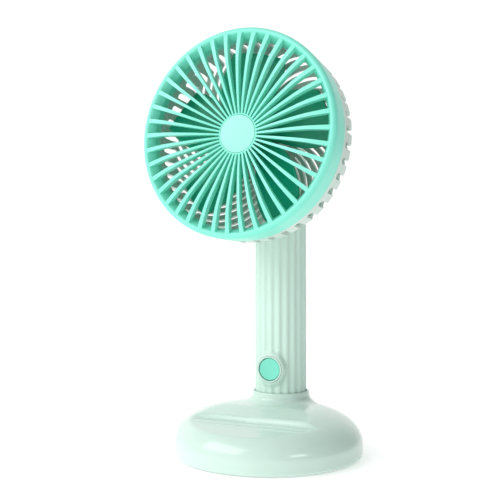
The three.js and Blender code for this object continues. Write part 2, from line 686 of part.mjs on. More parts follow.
/** The motor's pair of leads in one sleeve, from the motor through the neck to the board. */
function motorCable() {
  const beside = (CELL_RADIUS + HANDLE_BORE) / 2 * Math.SQRT1_2;
  const start = headToWorld(new THREE.Vector3(0, MOTOR_CAP_BACK + GAP, 0));
  const neckEnd = headToWorld(new THREE.Vector3(0, REAR_DEPTH + NECK_LENGTH + STEM_LENGTH, 0));
  const cellTop = CELL_BOTTOM + CELL_LENGTH;
  const behindBoard = BOARD_Y + BOARD_THICKNESS + GAP + CABLE_RADIUS;
  const route = new THREE.CatmullRomCurve3([
    start,
    start.clone().lerp(neckEnd, 0.5),
    neckEnd,
    new THREE.Vector3(beside * 0.6, COLUMN_Y + beside * 0.55, neckEnd.z - 8),
    new THREE.Vector3(beside, COLUMN_Y + beside, cellTop + 8),
    new THREE.Vector3(beside, COLUMN_Y + beside, cellTop - 10),
    new THREE.Vector3(beside, COLUMN_Y + beside, CELL_BOTTOM + 8),
    new THREE.Vector3(beside, COLUMN_Y + beside, CELL_BOTTOM),
    new THREE.Vector3(beside * 0.9, COLUMN_Y + beside * 0.8, CELL_BOTTOM - 6),
    new THREE.Vector3(beside * 0.7, behindBoard, CELL_BOTTOM - 13),
  ], false, "centripetal");
  const section = new THREE.Shape(arc(0, 0, CABLE_RADIUS, CABLE_RADIUS, 0, 300, 5).map(([x, y]) => (
    new THREE.Vector2(x, y)
  )));
  const tube = new THREE.ExtrudeGeometry(section, { steps: 34, extrudePath: route, bevelEnabled: false });
  return piece("motor_cable", "black", surface(solid(tube)));
}

// ---- head -----------------------------------------------------------------------------------

const headPlace = new THREE.Matrix4()
  .makeTranslation(0, RING_Y, RING_Z)
  .multiply(new THREE.Matrix4().makeRotationX(-HEAD_TILT));

function headToWorld(point) {
  return point.applyMatrix4(headPlace);
}

function inHead(geometry) {
  return geometry.applyMatrix4(headPlace);
}

/** Depth of a front rib's front edge: level with the lip outside, bulging, sunk at the hub. */
const frontRibEdge = curveThrough([
  [HUB_RADIUS - TUCK, HUB_SET_BACK + GAP],
  [between(HUB_RADIUS, LIP_RADIUS, 0.29), -0.6],
  [between(HUB_RADIUS, LIP_RADIUS, 0.64), -LIP_RISE - 1.1],
  [between(HUB_RADIUS, LIP_RADIUS, 0.84), -LIP_RISE - 0.8],
  [LIP_RADIUS - 0.5, -LIP_RISE + 0.2],
]);

function frontRib(index) {
  const angle = FRONT_RIB_TURN + (2 * Math.PI * index) / FRONT_RIB_COUNT;
  return bentBar(4, 1, (along, sideways, through) => {
    const edge = frontRibEdge(along);
    const width = between(FRONT_RIB_INNER_WIDTH, FRONT_RIB_OUTER_WIDTH, along);
    const depth = edge.y + (through + 0.5) * FRONT_RIB_HEIGHT;
    return headPoint(angle, edge.x, depth, sideways * width);
  });
}

/** The ring, the radial ribs and the hub disc, one moulding, with a seat for the hub's cap. */
function frontGrille() {
  const wallRadius = RING_RADIUS - RING_WALL;
  const ring = turned([
    [RING_RADIUS, 0],
    [RING_RADIUS - 0.3, RING_DEPTH],
    [wallRadius, RING_DEPTH],
    [wallRadius, 0.8],
    [THROAT_RADIUS + 2.2, 2],
    [THROAT_RADIUS + 1.4, THROAT_DEPTH],
    [THROAT_RADIUS, THROAT_DEPTH],
    [THROAT_RADIUS, 2.6],
    [LIP_RADIUS - 0.6, -LIP_RISE + 0.3],
    [LIP_RADIUS, -LIP_RISE],
    [LIP_RADIUS + 0.8, -LIP_RISE + 0.3],
  ], FRONT_RIB_COUNT).rotateY(-FRONT_RIB_TURN - Math.PI / FRONT_RIB_COUNT);
  const hub = rod(HUB_RADIUS, HUB_SET_BACK + 0.2, HUB_BACK, 40);
  const ribs = [];
  for (let i = 0; i < FRONT_RIB_COUNT; i++) ribs.push(frontRib(i));
  const seat = rod(HUB_RADIUS - 0.8 + GAP, 0, HUB_SET_BACK + HUB_CAP_THICKNESS + GAP, 40);
  return piece("front_grille", "aqua", cut(join(ring, hub, ...ribs), seat));
}

function grilleCap() {
  return piece("grille_cap", "aqua", rod(
    HUB_RADIUS - 0.8,
    HUB_SET_BACK,
    HUB_SET_BACK + HUB_CAP_THICKNESS,
    40,
  ));
}

/** The line that a rear rib's middle follows, as [radius, depth]. */
const rearRibLine = curveThrough([
  [SHOULDER_RADIUS - 1.2, REAR_START + REAR_BAND - 0.8],
  [SHOULDER_RADIUS - 1, SHOULDER_DEPTH - 6],
  [SHOULDER_RADIUS - 1.5, SHOULDER_DEPTH - 3],
  [SHOULDER_RADIUS - 4, SHOULDER_DEPTH - 0.6],
  [between(REAR_DISC_RADIUS, SHOULDER_RADIUS, 0.65), SHOULDER_DEPTH + 2.4],
  [between(REAR_DISC_RADIUS, SHOULDER_RADIUS, 0.32), SHOULDER_DEPTH + 5.6],
  [REAR_DISC_RADIUS - REAR_RIB_OVERLAP, REAR_DEPTH - REAR_DISC_THICKNESS / 2],
]);

function rearRib(index) {
  const start = (2 * Math.PI * index) / REAR_RIB_COUNT;
  const innerRadius = REAR_DISC_RADIUS - REAR_RIB_OVERLAP;
  const swirlRadius = SHOULDER_RADIUS - REAR_RIB_THICKNESS - TUCK;
  const step = 0.01;
  return bentBar(6, 1, (along, sideways, through) => {
    const line = rearRibLine(along);
    const before = rearRibLine(Math.max(0, along - step));
    const after = rearRibLine(Math.min(1, along + step));
    const facing = new THREE.Vector2(before.y - after.y, after.x - before.x)
      .normalize()
      .multiplyScalar(through * REAR_RIB_THICKNESS);
    const share = (swirlRadius - line.x) / (swirlRadius - innerRadius);
    const inward = THREE.MathUtils.clamp(share, 0, 1);
    const angle = start + REAR_RIB_SWIRL * inward ** 0.8;
    const width = between(REAR_RIB_OUTER_WIDTH, REAR_RIB_INNER_WIDTH, inward);
    return headPoint(angle, line.x + facing.x, line.y + facing.y, sideways * width);
  });
}

/** Band, swirled ribs, motor cup, neck and stem, one moulding. */
function rearHousing() {
  const bandBack = REAR_START + REAR_BAND;
  const spigotFront = REAR_START - SPIGOT_LENGTH;
  const band = turned([
    [SPIGOT_RADIUS - SPIGOT_WALL, spigotFront],
    [SPIGOT_RADIUS, spigotFront],
    [SPIGOT_RADIUS, REAR_START],
    [RING_RADIUS - 0.4, REAR_START],
    [RING_RADIUS - 0.6, bandBack],
    [SPIGOT_RADIUS - SPIGOT_WALL, bandBack],
  ], REAR_RIB_COUNT);
  const cupRadius = MOTOR_RADIUS + GAP;
  const core = turned([
    [STEM_BORE, REAR_DISC_FRONT],
    [cupRadius, REAR_DISC_FRONT],
    [cupRadius, MOTOR_FRONT + 2],
    [cupRadius + MOTOR_CUP_WALL, MOTOR_FRONT + 2],
    [cupRadius + MOTOR_CUP_WALL, REAR_DISC_FRONT],
    [REAR_DISC_RADIUS, REAR_DISC_FRONT],
    [REAR_DISC_RADIUS, REAR_DEPTH - 1],
    [REAR_DISC_RADIUS - 1, REAR_DEPTH],
    [NECK_RADIUS, REAR_DEPTH],
    [NECK_RADIUS, REAR_DEPTH + NECK_LENGTH],
    [STEM_RADIUS, REAR_DEPTH + NECK_LENGTH],
    [STEM_RADIUS, REAR_DEPTH + NECK_LENGTH + STEM_LENGTH],
    [STEM_BORE, REAR_DEPTH + NECK_LENGTH + STEM_LENGTH],
  ], 28);
  const ribs = [];
  for (let i = 0; i < REAR_RIB_COUNT; i++) ribs.push(rearRib(i));
  return piece("rear_housing", "paleMint", join(band, core, ...ribs));
}

/** The ring that locks the head's stem inside the handle. */
function neckLockRing() {
  const front = REAR_DEPTH + NECK_LENGTH + GAP;
  return piece("neck_lock_ring", "steel", sleeve(
    STEM_RADIUS + GAP,
    LOCK_RING_RADIUS,
    front,
    front + LOCK_RING_THICKNESS,
    28,
  ));
}

function motorCan() {
  return piece("motor_can", "steel", turned([
    [SHAFT_RADIUS + GAP, MOTOR_NOSE],
    [MOTOR_NOSE_RADIUS, MOTOR_NOSE],
    [MOTOR_NOSE_RADIUS, MOTOR_FRONT],
    [MOTOR_RADIUS - 1, MOTOR_FRONT],
    [MOTOR_RADIUS, MOTOR_FRONT + 1],
    [MOTOR_RADIUS, MOTOR_BACK],
    [SHAFT_RADIUS + GAP, MOTOR_BACK],
  ], 32));
}

function motorEndCap() {
  const back = MOTOR_CAP_BACK;
  return piece("motor_end_cap", "black", rod(MOTOR_RADIUS - 0.4, back - MOTOR_CAP_THICKNESS, back, 32));
}

function motorShaft() {
  const front = HUB_FRONT + HUB_FACE / 2 + GAP;
  return piece("motor_shaft", "darkSteel", rod(SHAFT_RADIUS, front, MOTOR_BACK - 0.6, 12));
}

/** One blade: a cambered plate, its leading edge at the back and its tip swept forwards. */
function blade(index) {
  const start = BLADE_TURN + (2 * Math.PI * index) / BLADE_COUNT;
  const root = IMPELLER_HUB_RADIUS - IMPELLER_HUB_WALL / 2;
  return bentBar(5, 4, (along, across, through) => {
    const radius = between(root, BLADE_TIP_RADIUS, along);
    const chord = BLADE_ROOT_CHORD + BLADE_SWELL * Math.sin(Math.PI * BLADE_SWELL_REACH * along);
    const lead = BLADE_SWEEP * (1 - (1 - along) ** 1.4);
    const angle = start - lead + across * (chord / radius);
    const camber = Math.cos(across * Math.PI) * BLADE_CAMBER;
    const depth = between(BLADE_FRONT, BLADE_BACK - BLADE_THICKNESS, 0.5 - across) + camber;
    return headPoint(angle, radius, depth + through * BLADE_THICKNESS);
  });
}

/** Five blades on a cup-shaped hub that is pressed on the motor's shaft. */
function impeller() {
  const front = HUB_FRONT;
  const face = front + HUB_FACE;
  const bossRadius = 3;
  const bossBack = MOTOR_NOSE - 2.4;
  const hub = turned([
    [SHAFT_RADIUS + GAP, face],
    [SHAFT_RADIUS + GAP, front + HUB_FACE / 2],
    [0, front + HUB_FACE / 2],
    [0, front],
    [IMPELLER_HUB_RADIUS - 1.4, front],
    [IMPELLER_HUB_RADIUS, front + 1.2],
    [IMPELLER_HUB_RADIUS, BLADE_BACK],
    [IMPELLER_HUB_RADIUS - IMPELLER_HUB_WALL, BLADE_BACK],
    [IMPELLER_HUB_RADIUS - IMPELLER_HUB_WALL, face],
    [bossRadius, face],
    [bossRadius, bossBack],
    [SHAFT_RADIUS + GAP, bossBack],
  ], 32);
  const blades = [];
  for (let i = 0; i < BLADE_COUNT; i++) blades.push(blade(i));
  return piece("impeller", "teal", join(hub, ...blades));
}

// ---- the whole fan --------------------------------------------------------------------------

const head = new THREE.Group();
head.applyMatrix4(headPlace);
head.add(frontGrille(), grilleCap(), rearHousing(), neckLockRing());
head.add(motorCan(), motorEndCap(), motorShaft(), impeller());

const handle = new THREE.Group();
handle.add(handleFront(), handleRear(), ...handleScrews(), handleEndCap(), handleTopCap());
handle.add(powerButton(), buttonBezel(), switchPlunger(), tactSwitch());
handle.add(circuitBoard(), chargeBoard(), chargingPort(), batteryCell(), ...batteryTabs(), motorCable());

const base = new THREE.Group();
base.add(baseCover(), basePlate(), ballastPlate(), antiSlipPad(), socketPad(), ...baseScrews());

const fan = new THREE.Group();
fan.name = "desk_and_hand_fan";
fan.add(base, handle, head);

export default fan;
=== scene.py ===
import math

import bpy
from mathutils import Matrix, Vector


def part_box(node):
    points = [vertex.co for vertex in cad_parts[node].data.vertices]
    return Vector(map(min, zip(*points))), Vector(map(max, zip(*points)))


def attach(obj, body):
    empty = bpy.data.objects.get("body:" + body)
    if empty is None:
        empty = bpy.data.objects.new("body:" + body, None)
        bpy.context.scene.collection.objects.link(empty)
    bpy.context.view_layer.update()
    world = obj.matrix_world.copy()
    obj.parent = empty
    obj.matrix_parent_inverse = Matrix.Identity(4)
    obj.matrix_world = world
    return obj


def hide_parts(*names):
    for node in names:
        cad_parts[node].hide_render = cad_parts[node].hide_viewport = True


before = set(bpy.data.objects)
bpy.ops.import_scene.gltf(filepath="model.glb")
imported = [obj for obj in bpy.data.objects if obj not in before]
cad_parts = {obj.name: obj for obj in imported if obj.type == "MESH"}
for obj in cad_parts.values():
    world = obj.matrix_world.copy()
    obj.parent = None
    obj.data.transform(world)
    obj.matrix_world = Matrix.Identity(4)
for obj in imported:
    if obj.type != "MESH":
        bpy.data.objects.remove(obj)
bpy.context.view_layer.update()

MM = 0.001
TAU = 2 * math.pi


# ---- base cover -----------------------------------------------------------------------------
# The base's upper shell: a round dome with a collar that holds the handle, and a shallow step
# across its front for a phone to lean in. One glossy injection moulding in pale mint ABS.

class Socket:
    """A shader node's output, or a plain number, that can be used in an expression."""

    def __init__(self, tree, link):
        self.tree = tree
        self.link = link

    def maths(self, operation, *values):
        inputs = {i: value for i, value in enumerate(values)}
        return self.node("ShaderNodeMath", {"operation": operation}, inputs)

    def node(self, kind, settings, inputs, output=0):
        """Adds a node with these settings and socket values, and gives one of its outputs."""
        made = self.tree.nodes.new(kind)
        for name, value in settings.items():
            setattr(made, name, value)
        for name, value in inputs.items():
            if isinstance(value, Socket):
                self.tree.links.new(value.link, made.inputs[name])
            else:
                made.inputs[name].default_value = value
        return Socket(self.tree, made.outputs[output])

    def __add__(self, other):
        return self.maths("ADD", self, other)

    def __radd__(self, other):
        return self.maths("ADD", other, self)

    def __sub__(self, other):
        return self.maths("SUBTRACT", self, other)

    def __rsub__(self, other):
        return self.maths("SUBTRACT", other, self)

    def __mul__(self, other):
        return self.maths("MULTIPLY", self, other)

    def __rmul__(self, other):
        return self.maths("MULTIPLY", other, self)


def linear(red, green, blue):
    """A colour given as it looks on a screen, from 0 to 255, as the shader wants it."""
    shares = [value / 255 for value in (red, green, blue)]
    return [s / 12.92 if s <= 0.04045 else ((s + 0.055) / 1.055) ** 2.4 for s in shares] + [1.0]


def plastic(name, colour, roughness, grain=0.02, grain_size=0.35, cloud=0.03, metallic=0.0, coat=0.0):
    """A moulded finish: a faint cloud in the colour, and a fine grain in the gloss and the surface."""
    material = bpy.data.materials.new(name)
    material.use_nodes = True
    tree = material.node_tree
    shader = tree.nodes["Principled BSDF"]
    start = Socket(tree, None)
    place = start.node("ShaderNodeTexCoord", {}, {}, "Object")
    clouds = start.node("ShaderNodeTexNoise", {}, {"Vector": place, "Scale": 45.0, "Detail": 3.0})
    speckle = start.node("ShaderNodeTexNoise", {}, {
        "Vector": place, "Scale": 1 / (grain_size * MM), "Detail": 2.0, "Roughness": 0.6})
    darker = [c * (1 - 2 * cloud) for c in colour[:3]] + [1.0]
    mixed = start.node("ShaderNodeMix", {"data_type": "RGBA"}, {0: clouds, 6: darker, 7: colour}, 2)
    tree.links.new(mixed.link, shader.inputs["Base Color"])
    gloss = roughness + (speckle - 0.5) * (roughness * 0.35) + (clouds - 0.5) * (roughness * 0.25)
    tree.links.new(gloss.link, shader.inputs["Roughness"])
    bump = start.node("ShaderNodeBump", {}, {
        "Strength": 1.0, "Distance": grain * MM, "Height": speckle})
    tree.links.new(bump.link, shader.inputs["Normal"])
    shader.inputs["Metallic"].default_value = metallic
    shader.inputs["Coat Weight"].default_value = coat
    shader.inputs["Coat Roughness"].default_value = 0.06
    return material


def deselect():
    for each in list(bpy.context.selected_objects):
        each.select_set(False)


def choose(piece):
    """Selects this piece alone and makes it the active one."""
    deselect()
    piece.select_set(True)
    bpy.context.view_layer.objects.active = piece


def editing(piece):
    choose(piece)
    bpy.ops.object.mode_set(mode="EDIT")


def finished(name, body, material, angle=40):
    """Names the active object, closes and turns its faces outwards, smooths it and dresses it."""
    piece = bpy.context.object
    if piece.mode == "EDIT":
        bpy.ops.object.mode_set(mode="OBJECT")
    bpy.ops.object.transform_apply(location=True, rotation=True, scale=True)
    bpy.ops.object.mode_set(mode="EDIT")
    bpy.ops.mesh.select_all(action="SELECT")
    bpy.ops.mesh.remove_doubles(threshold=0.005 * MM)
    bpy.ops.mesh.normals_make_consistent(inside=False)
    bpy.ops.object.mode_set(mode="OBJECT")
    bpy.ops.object.shade_smooth_by_angle(angle=math.radians(angle))
    piece.name = name
    piece.data.name = name
    piece.data.materials.clear()
    piece.data.materials.append(material)
    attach(piece, body)
    return piece


def arc(centre, radii, start, end, steps):
    """Points round part of an ellipse, for angles in degrees."""
    points = []
    for i in range(steps + 1):
        angle = math.radians(start + (end - start) * i / steps)
        points.append((centre[0] + radii[0] * math.cos(angle), centre[1] + radii[1] * math.sin(angle)))
    return points


def ringed(rings, sides, fill="NOTHING"):
    """A skin drawn through rings about upright axes: each ring is (centre y, radius, height)."""
    deselect()
    centre, radius, height = rings[0]
    bpy.ops.mesh.primitive_circle_add(
        vertices=sides, radius=radius * MM, fill_type=fill,
        location=(0, centre * MM, height * MM))
    bpy.ops.object.transform_apply(location=True)
    bpy.ops.object.mode_set(mode="EDIT")
    bpy.ops.mesh.select_all(action="SELECT")
    for (was_centre, was_radius, was_height), (centre, radius, height) in zip(rings, rings[1:]):
        bpy.ops.mesh.extrude_region_move(TRANSFORM_OT_translate={
            "value": (0, (centre - was_centre) * MM, (height - was_height) * MM)})
        grow = radius / was_radius
        bpy.ops.transform.resize(
            value=(grow, grow, 1), center_override=(0, centre * MM, height * MM))
    bpy.ops.mesh.select_all(action="SELECT")
    if fill == "NOTHING":
        bpy.ops.mesh.remove_doubles(threshold=0.005 * MM)
    return bpy.context.object


BASE_RADIUS = 50.0
EDGE_HEIGHT = 7.0
BASE_HEIGHT = 25.5
FLAT_RADIUS = 18.0
WALL = 2.2
HANDLE_Y = (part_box("socket_pad")[0].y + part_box("socket_pad")[1].y) / 2 / MM
COVER_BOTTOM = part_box("base_cover")[0].z / MM
RIM_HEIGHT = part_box("base_cover")[1].z / MM
SOCKET_RADIUS = 14.5
TUBE_RADIUS = 15.8
FLARE_RADIUS = 21.6
LEDGE_TOP = (-19.5, 22.2)
LEDGE_FOOT = 19.8
LEDGE_WIDTH = 9.2
LEDGE_SLOPE_START = -6.0
LEDGE_BLEND_START = -4.0
BASE_SIDES = 224
SLIDE_STEPS = 64


def dome_height(distance, radius=BASE_RADIUS):
    """The height of a dome of this radius, at a distance from the base's centre."""
    reach = max(0.0, min(1.0, (distance - FLAT_RADIUS) / (radius - FLAT_RADIUS)))
    return EDGE_HEIGHT + (BASE_HEIGHT - EDGE_HEIGHT) * math.sqrt(1 - reach * reach)


def blend_low(first, second, soft):
    """The lower of two heights, with the crease between them rounded."""
    share = max(0.0, min(1.0, 0.5 + 0.5 * (second - first) / soft))
    return second + (first - second) * share - soft * share * (1 - share)


def step(value, low, high):
    share = max(0.0, min(1.0, (value - low) / (high - low)))
    return share * share * (3 - 2 * share)


def ledge_height(y):
    """The phone ledge's height across the front: a slope, a back wall, and two low ridges."""
    top_y, top_z = LEDGE_TOP
    slope = top_z + (y - top_y) * (BASE_HEIGHT - top_z) / (LEDGE_SLOPE_START - top_y)
    groove = LEDGE_FOOT - 0.09 * (top_y - y)
    for place, rise in ((top_y - LEDGE_WIDTH / 2, 0.62), (top_y - LEDGE_WIDTH, 0.5)):
        groove += rise * math.exp(-((y - place) / 0.75) ** 2)
    lip = 0.35 * math.exp(-((y - top_y - 0.4) / 0.9) ** 2)
    wall = step(y, top_y - 1.5, top_y - 0.1)
    return groove + (slope + lip - groove) * wall


def base_rings(inset):
    """Rings up the dome's edge, then rings that slide back and shrink to the collar's foot.

    The sliding rings are laid flat here, and are set on the dome and the ledge afterwards.
    """
    outer = BASE_RADIUS - inset
    rings = []
    for reach, height in arc((FLAT_RADIUS, EDGE_HEIGHT), (outer - FLAT_RADIUS, 1), 0, 43, 22):
        rings.append((0.0, reach, height))
    foot_radius = FLARE_RADIUS - inset * 0.6
    last = rings[-1][1]
    for i in range(1, SLIDE_STEPS + 1):
        share = i / SLIDE_STEPS
        rings.append((HANDLE_Y * share, last + (foot_radius - last) * share, BASE_HEIGHT - inset))
    return rings


outer_rings = base_rings(0)
flare_top = RIM_HEIGHT - 2.2
flare_drop = flare_top - BASE_HEIGHT + 0.15
flare_width = FLARE_RADIUS - TUBE_RADIUS
flare = [(HANDLE_Y, x, z) for x, z in arc(
    (FLARE_RADIUS, flare_top), (flare_width, flare_drop), 268, 180, 14)]
rim = [
    (HANDLE_Y, TUBE_RADIUS - 0.06, RIM_HEIGHT - 0.9),
    (HANDLE_Y, TUBE_RADIUS - 0.12, RIM_HEIGHT - 0.35),
    (HANDLE_Y, TUBE_RADIUS - 0.3, RIM_HEIGHT - 0.1),
    (HANDLE_Y, TUBE_RADIUS - 0.55, RIM_HEIGHT),
    (HANDLE_Y, SOCKET_RADIUS + 0.35, RIM_HEIGHT),
    (HANDLE_Y, SOCKET_RADIUS + 0.08, RIM_HEIGHT - 0.12),
    (HANDLE_Y, SOCKET_RADIUS, RIM_HEIGHT - 0.4),
]
socket_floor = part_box("socket_pad")[0].z / MM
socket = [
    (HANDLE_Y, SOCKET_RADIUS, RIM_HEIGHT / 2),
    (HANDLE_Y, SOCKET_RADIUS, socket_floor),
    (HANDLE_Y, TUBE_RADIUS, socket_floor),
    (HANDLE_Y, TUBE_RADIUS, BASE_HEIGHT - 2 * WALL),
]
inner_rings = base_rings(WALL)[::-1]
lower_edge = [
    (0.0, BASE_RADIUS - WALL, COVER_BOTTOM),
    (0.0, BASE_RADIUS - 2.0, COVER_BOTTOM),
    *[(0.0, x, z) for x, z in arc((BASE_RADIUS - 2, COVER_BOTTOM + 2), (2, 2), -75, 0, 5)],
    (0.0, BASE_RADIUS, EDGE_HEIGHT - 1.5),
]
parts = [lower_edge, outer_rings, flare, rim, socket, inner_rings]
shell = ringed([*(ring for part in parts for ring in part), lower_edge[0]], BASE_SIDES)
bpy.ops.object.mode_set(mode="OBJECT")


def corners_of(part):
    """The shell's corners that lie on this part's rings."""
    first = sum(len(earlier) for earlier in parts[:part])
    last = first + len(parts[part])
    return [shell.data.vertices[i].co for i in range(first * BASE_SIDES, last * BASE_SIDES)]


for part, drop in ((1, 0.0), (5, WALL)):
    for spot in corners_of(part):
        away = math.hypot(spot.x, spot.y) / MM
        height = dome_height(away, BASE_RADIUS - drop)
        if spot.y / MM < LEDGE_BLEND_START:
            height = blend_low(height, ledge_height(spot.y / MM), 0.5)
        spot.z = (height - drop) * MM
for spot in corners_of(2):
    fall = BASE_HEIGHT - dome_height(math.hypot(spot.x, spot.y) / MM)
    low = (flare_top - spot.z / MM) / flare_drop
    spot.z -= fall * low * low * MM
gloss_mint = plastic("gloss_mint", linear(213, 238, 227), 0.16, grain=0.004, grain_size=0.8, coat=0.25)
cover = finished("base_shell", "base", gloss_mint, 50)
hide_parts("base_cover")


# ---- underside ------------------------------------------------------------------------------
# A flat plate closes the base, held by three screws, with a steel weight above it and a soft
# foot glued below. A rubber disc at the socket's foot takes the handle's weight.

rubber = plastic("rubber", linear(62, 66, 64), 0.8, grain=0.05, grain_size=0.6)
pale_mint = plastic("pale_mint", linear(212, 234, 224), 0.42, grain=0.012)
screw_steel = plastic("screw_steel", linear(184, 187, 189), 0.32, grain=0.01, metallic=1.0)
ballast_steel = plastic("ballast_steel", linear(120, 124, 126), 0.5, grain=0.03, metallic=1.0)


def dress(node, material):
    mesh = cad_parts[node].data
    mesh.materials.clear()
    mesh.materials.append(material)


dress("base_plate", pale_mint)
dress("ballast_plate", ballast_steel)
dress("socket_pad", rubber)
for number in (1, 2, 3):
    dress(f"base_screw_{number}", screw_steel)

PAD_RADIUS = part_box("anti_slip_pad")[1].x / MM
PAD_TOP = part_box("anti_slip_pad")[1].z / MM


def solid_of_revolution(outline, sides):
    """A solid about the upright axis, flat at both ends: the outline is [(radius, height), ...]."""
    return ringed([(0.0, radius, height) for radius, height in outline], sides, "NGON")


solid_of_revolution([
    (PAD_RADIUS - 0.3, 0), (PAD_RADIUS, 0.3), (PAD_RADIUS, PAD_TOP - 0.1),
    (PAD_RADIUS - 0.1, PAD_TOP),
], 128)
foot = finished("soft_foot", "base", rubber)
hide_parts("anti_slip_pad")


# ---- handle shells --------------------------------------------------------------------------
# The handle is a fluted tube moulded as a front and a rear shell that meet along its sides. The
# front shell swells into a round boss for the button and has a hole for the head's neck. The rear
# one is cut for the port and the screws.

HANDLE_RADIUS = 14.0
HANDLE_BORE = 11.8
SHELL_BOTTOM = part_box("handle_rear")[0].z / MM
SHELL_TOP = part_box("handle_rear")[1].z / MM
FLUTES = 20
FLUTE_DEPTH = 0.7
FLUTE_SHARE = 0.7
BUTTON_Z = (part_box("power_button")[0].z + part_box("power_button")[1].z) / 2 / MM
BOSS_FACE = 15.5
BOSS_HALF_ANGLE = math.radians(31)
BOSS_HALF_HEIGHT = 8.8
BOSS_REACH = 11.5
BEZEL_HOLE = 7.15
FLANGE_ROOM = 7.5
FLANGE_ROOM_FRONT = 6.6
NECK_HOLE = 8.3
SEAM = 0.05
PORT_BOX = [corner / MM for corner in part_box("charging_port")]
HEAD_TILT = math.radians(4.2)
NECK_PLACE = Vector((0, 3.4, 161.3)) * MM


def fluted_radius(angle, height):
    """How far the handle's skin is from its axis, for an angle from the front."""
    pitch = TAU / FLUTES
    across = ((angle / pitch) % 1.0 - 0.5) / (FLUTE_SHARE / 2)
    flute = FLUTE_DEPTH * (1 - across * across) if abs(across) < 1 else 0.0
    radius = HANDLE_RADIUS - flute
    turn = math.atan2(math.sin(angle), math.cos(angle))
    near = math.hypot(turn / BOSS_HALF_ANGLE, (height - BUTTON_Z) / BOSS_HALF_HEIGHT)
    if near > 1.25:
        return radius
    face = BOSS_FACE / max(0.5, math.cos(turn))
    share = 1 - step(near, 0.8, 1.22)
    return radius + (max(face, HANDLE_RADIUS) - radius) * share


heights = [SHELL_BOTTOM, SHELL_BOTTOM + 0.3, 20.0, 30.0]
heights += [BUTTON_Z - BOSS_REACH + 0.5 * i for i in range(int(4 * BOSS_REACH) + 1)]
heights += [62.0, 90.0, 120.0, 150.0, SHELL_TOP - 0.3, SHELL_TOP]
HANDLE_SIDES = 320
tube_rings = [(HANDLE_Y, HANDLE_RADIUS, height) for height in heights]
tube_rings += [(HANDLE_Y, HANDLE_BORE, SHELL_TOP), (HANDLE_Y, HANDLE_BORE, SHELL_BOTTOM)]
tube_rings.append(tube_rings[0])
tube = ringed(tube_rings, HANDLE_SIDES)
bpy.ops.object.mode_set(mode="OBJECT")
for i in range(len(heights) * HANDLE_SIDES):
    spot = tube.data.vertices[i].co
    angle = math.atan2(spot.x, HANDLE_Y * MM - spot.y)
    radius = fluted_radius(angle, spot.z / MM) * MM
    spot.x = radius * math.sin(angle)
    spot.y = HANDLE_Y * MM - radius * math.cos(angle)


def copy_of(piece):
    made = piece.copy()
    made.data = piece.data.copy()
    bpy.context.scene.collection.objects.link(made)
    return made


def carve(piece, tool, operation="DIFFERENCE", solver="MANIFOLD"):
    """Cuts the tool out of the piece, or joins it on, and removes the tool."""
    choose(piece)
    cutter = piece.modifiers.new("cut", "BOOLEAN")
    cutter.operation = operation
    cutter.object = tool
    cutter.solver = solver
    bpy.ops.object.modifier_apply(modifier=cutter.name)
    bpy.data.objects.remove(tool)


def half_of(piece, side):
    """Keeps the part of the tube in front of its middle plane, or behind it, and closes the cut."""
    editing(piece)
    bpy.ops.mesh.select_all(action="SELECT")
    bpy.ops.mesh.bisect(
        plane_co=(0, (HANDLE_Y + side * SEAM) * MM, 0), plane_no=(0, side, 0),
        use_fill=True, clear_inner=True)
    bpy.ops.object.mode_set(mode="OBJECT")


def drill(radius, start, end, place, sides=64):
    """A rod along the line from front to back, to cut a round hole with."""
    deselect()
    bpy.ops.mesh.primitive_cylinder_add(
        vertices=sides, radius=radius * MM, depth=(end - start) * MM,
        location=(place[0] * MM, (start + end) / 2 * MM, place[1] * MM),
        rotation=(math.pi / 2, 0, 0))
    bpy.ops.object.transform_apply(location=True, rotation=True)
    return bpy.context.object


satin_mint = plastic("satin_mint", linear(211, 238, 226), 0.36, grain=0.01, grain_size=0.5)
front_tube = copy_of(tube)
half_of(front_tube, -1)
half_of(tube, 1)
carve(front_tube, drill(BEZEL_HOLE, -5, HANDLE_Y, (0, BUTTON_Z), 96))
carve(front_tube, drill(FLANGE_ROOM, FLANGE_ROOM_FRONT, HANDLE_Y, (0, BUTTON_Z), 96))
neck_hole = drill(NECK_HOLE, -12, 12, (0, 0), 96)
neck_hole.rotation_euler = (-HEAD_TILT, 0, 0)
neck_hole.location = NECK_PLACE
carve(front_tube, neck_hole)
choose(front_tube)
front_shell = finished("handle_front_shell", "fan_unit", satin_mint, 50)
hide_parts("handle_front")

for screw in ("handle_screw_1", "handle_screw_2"):
    low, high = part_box(screw)
    carve(tube, drill(2.7, HANDLE_Y + 4, HANDLE_Y + 20, (0, (low.z + high.z) / 2 / MM), 48))
port_middle = (PORT_BOX[0] + PORT_BOX[1]) / 2
port_size = PORT_BOX[1] - PORT_BOX[0] + Vector((0.4, 0, 0.4))
deselect()
bpy.ops.mesh.primitive_cube_add(
    size=1, location=(0, (HANDLE_Y + 14) * MM, port_middle.z * MM),
    scale=(port_size.x * MM, 12 * MM, port_size.z * MM))
bpy.ops.object.transform_apply(location=True, scale=True)
slot_tool = bpy.context.object
editing(slot_tool)
bpy.ops.mesh.select_all(action="DESELECT")
bpy.ops.mesh.select_mode(type="EDGE")
bpy.ops.object.mode_set(mode="OBJECT")
for edge in slot_tool.data.edges:
    ends = [slot_tool.data.vertices[i].co for i in edge.vertices]
    edge.select = abs(ends[0].y - ends[1].y) > MM
bpy.ops.object.mode_set(mode="EDIT")
bpy.ops.mesh.bevel(offset=port_size.z / 2.02 * MM, segments=8, affect="EDGES")
bpy.ops.mesh.select_mode(type="VERT")
bpy.ops.object.mode_set(mode="OBJECT")
carve(tube, slot_tool)
choose(tube)
rear_shell = finished("handle_rear_shell", "fan_unit", satin_mint, 50)
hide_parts("handle_rear")


